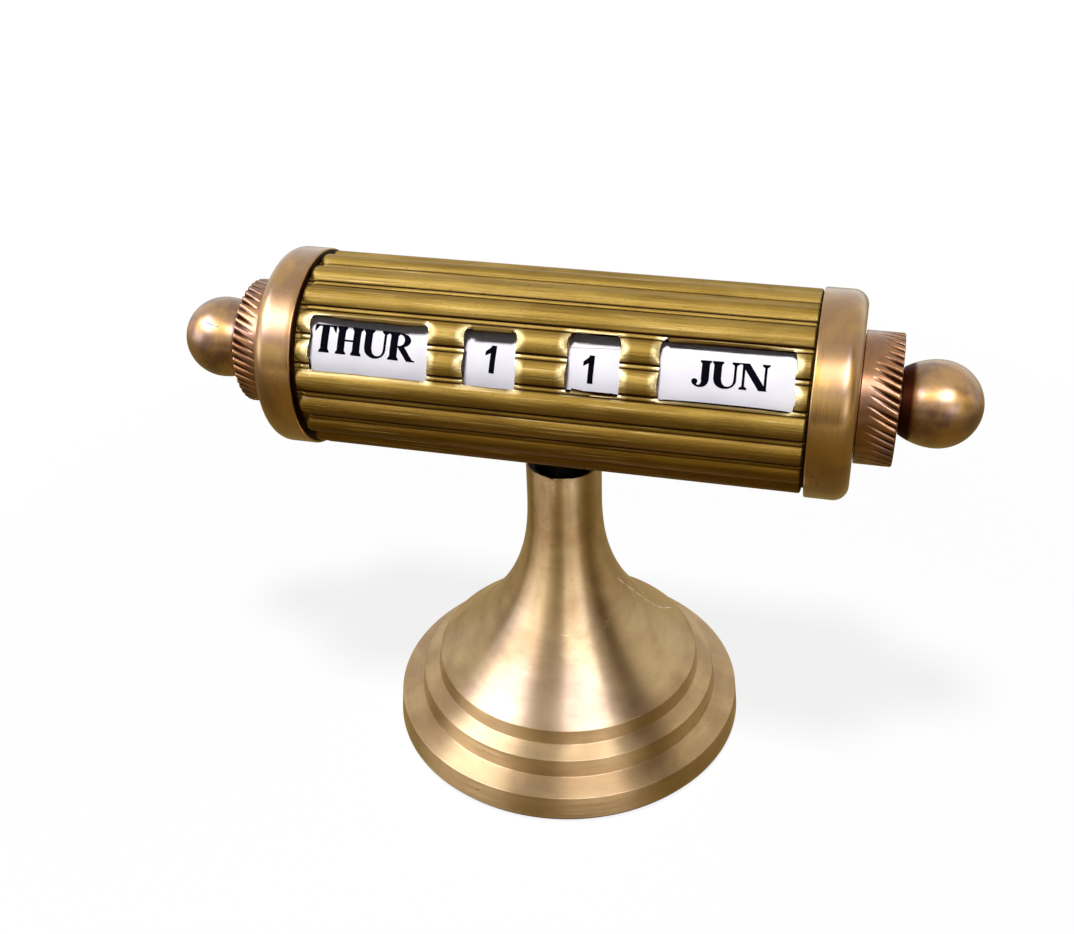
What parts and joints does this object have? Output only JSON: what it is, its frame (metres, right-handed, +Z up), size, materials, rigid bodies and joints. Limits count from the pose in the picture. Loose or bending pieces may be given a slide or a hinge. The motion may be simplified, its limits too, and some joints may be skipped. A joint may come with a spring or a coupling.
{
  "type": "perpetual desk calendar",
  "caption": "Brass desk calendar: a reeded tube on a trumpet stand, with windows on paper-banded drums turned by knurled collars and ball knobs at its ends.",
  "frame": {"origin": "centre of the felt under the stand, on the desk", "axes": "+X along the tube towards the month end, +Y away from the reader, +Z up the stand"},
  "size_m": [0.1524, 0.073, 0.1012],
  "materials": {
    "stand_brass": "satin, lathe brushed",
    "aged_tube_brass": "tarnished, worn on the crests",
    "cap_brass": "satin",
    "collar_brass": "satin with bright cuts",
    "knob_brass": "satin",
    "inner_brass": "as drawn",
    "plated_steel": "zinc plated",
    "blackened_steel": "blackened",
    "fibre": "matt red fibre",
    "felt": "felt",
    "paper": "printed paper"
  },
  "bodies": {
    "stand_and_tube": {"base_foot": "stand_brass", "base_pad": "felt", "stand_screw": "plated_steel", "stand_washer": "plated_steel", "stand_spacer": "blackened_steel", "centre_block": "inner_brass", "housing_tube": "aged_tube_brass", "left_end_cap": "cap_brass", "right_end_cap": "cap_brass", "left_spring_washer": "plated_steel", "right_spring_washer": "plated_steel", "left_thrust_washer": "fibre", "right_thrust_washer": "fibre"},
    "day_dial": {"day_collar": "collar_brass", "day_collar_screw": "blackened_steel", "day_sleeve": "inner_brass", "day_hub_disc": "inner_brass", "day_idle_disc": "inner_brass", "day_drum_tube": "inner_brass", "day_paper_band": "paper"},
    "tens_dial": {"tens_knob": "knob_brass", "tens_shaft": "inner_brass", "tens_discs": "inner_brass", "tens_drum_tube": "inner_brass", "tens_paper_band": "paper", "tens_spacer": "plated_steel"},
    "units_dial": {"units_knob": "knob_brass", "units_shaft": "inner_brass", "units_discs": "inner_brass", "units_drum_tube": "inner_brass", "units_paper_band": "paper", "units_spacer": "plated_steel"},
    "month_dial": {"month_collar": "collar_brass", "month_collar_screw": "blackened_steel", "month_sleeve": "inner_brass", "month_hub_disc": "inner_brass", "month_idle_disc": "inner_brass", "month_drum_tube": "inner_brass", "month_paper_band": "paper"}
  },
  "joints": [
    {"name": "day_turn", "type": "hinge", "parent": "stand_and_tube", "child": "day_dial", "pos_m": [0, 0, 0.0822], "axis": [1, 0, 0], "continuous": true},
    {"name": "tens_turn", "type": "hinge", "parent": "stand_and_tube", "child": "tens_dial", "pos_m": [0, 0, 0.0822], "axis": [1, 0, 0], "continuous": true},
    {"name": "units_turn", "type": "hinge", "parent": "stand_and_tube", "child": "units_dial", "pos_m": [0, 0, 0.0822], "axis": [1, 0, 0], "continuous": true},
    {"name": "month_turn", "type": "hinge", "parent": "stand_and_tube", "child": "month_dial", "pos_m": [0, 0, 0.0822], "axis": [1, 0, 0], "continuous": true}
  ]
}
